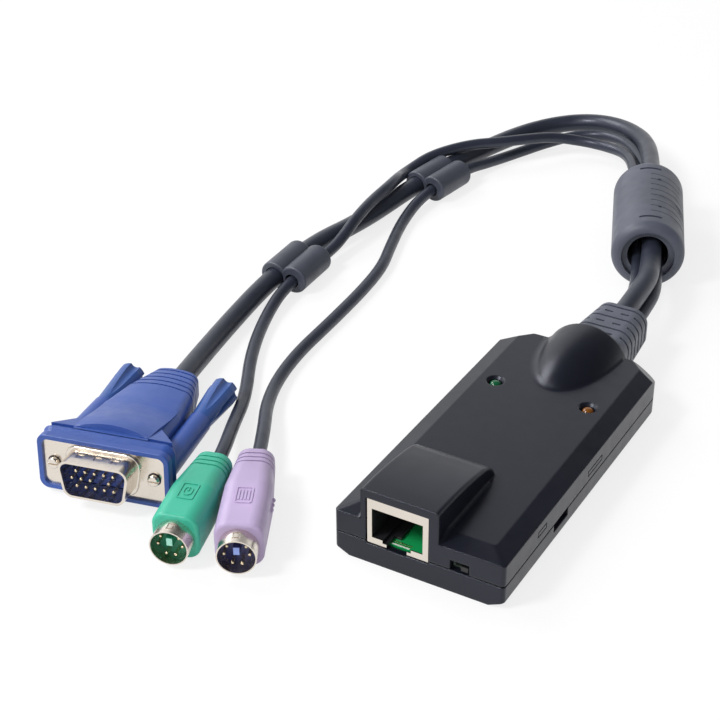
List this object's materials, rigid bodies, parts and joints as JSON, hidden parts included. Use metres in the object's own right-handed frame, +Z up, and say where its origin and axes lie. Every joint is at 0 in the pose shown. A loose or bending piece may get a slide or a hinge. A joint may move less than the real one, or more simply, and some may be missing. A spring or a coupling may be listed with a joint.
{
  "type": "kvm dongle",
  "caption": "Server interface dongle: dark case with a network jack, ferrite-choked leads to a blue video plug and green and purple round plugs.",
  "frame": {"origin": "centre of the case's footprint on the surface it lies on", "axes": "+Y from the network jack to the cable end of the case, +Z up, +X to the right seen from the jack's back"},
  "size_m": [0.1228, 0.2614, 0.0204],
  "materials": {
    "case_black": "satin moulded charcoal black",
    "boot_grey": "soft slate grey",
    "cable_grey": "smooth dark grey cable jacket",
    "ferrite_grey": "fine matt slate grey",
    "ferrite": "dark ceramic",
    "board_green": "green solder mask",
    "chip_black": "matt black epoxy",
    "nickel": "bright nickel plating",
    "gold": "gold plating",
    "insert_black": "black moulded insulator",
    "header_white": "off-white connector",
    "lamp_green": "clear green resin",
    "lamp_amber": "clear amber resin",
    "switch_grey": "grey switch housing",
    "slider_black": "black slider",
    "plug_blue": "satin royal blue",
    "knob_blue": "satin blue, fluted",
    "plug_green": "satin sea green",
    "plug_purple": "satin lilac"
  },
  "bodies": {
    "root": {"lower_case": "case_black", "upper_case": "case_black", "circuit_board": "board_green", "main_chip": "chip_black", "small_chips": "chip_black", "cable_header": "header_white", "link_led": "lamp_green", "power_led": "lamp_amber", "jack_shield": "nickel", "jack_insert": "insert_black", "jack_contacts": "gold", "switch_body": "switch_grey", "cable_boot": "boot_grey", "ferrite_cover": "ferrite_grey", "ferrite_core": "ferrite", "vga_cable": "cable_grey", "mouse_cable": "cable_grey", "keyboard_cable": "cable_grey", "upper_sleeve": "boot_grey", "lower_sleeve": "boot_grey", "vga_hood": "plug_blue", "vga_shell": "nickel", "vga_insulator": "insert_black", "vga_pins": "nickel", "mouse_plug_body": "plug_green", "mouse_plug_shell": "nickel", "mouse_plug_insert": "insert_black", "mouse_plug_pins": "nickel", "keyboard_plug_body": "plug_purple", "keyboard_plug_shell": "nickel", "keyboard_plug_insert": "insert_black", "keyboard_plug_pins": "nickel"},
    "switch_slider": {"switch_slider": "slider_black"},
    "left_thumbscrew": {"left_thumbscrew_knob": "knob_blue", "left_thumbscrew_screw": "nickel"},
    "right_thumbscrew": {"right_thumbscrew_knob": "knob_blue", "right_thumbscrew_screw": "nickel"}
  },
  "joints": [
    {"name": "mode_switch", "type": "slide", "parent": "root", "child": "switch_slider", "axis": [1, 0, 0], "range_m": [-0.002, 0]},
    {"name": "left_thumbscrew_turn", "type": "hinge", "parent": "root", "child": "left_thumbscrew", "pos_m": [-0.09541, -0.02765, 0.00606], "axis": [-0.2244, 0.972, -0.0698], "continuous": true},
    {"name": "right_thumbscrew_turn", "type": "hinge", "parent": "root", "child": "right_thumbscrew", "pos_m": [-0.07105, -0.02203, 0.00606], "axis": [-0.2244, 0.972, -0.0698], "continuous": true}
  ]
}
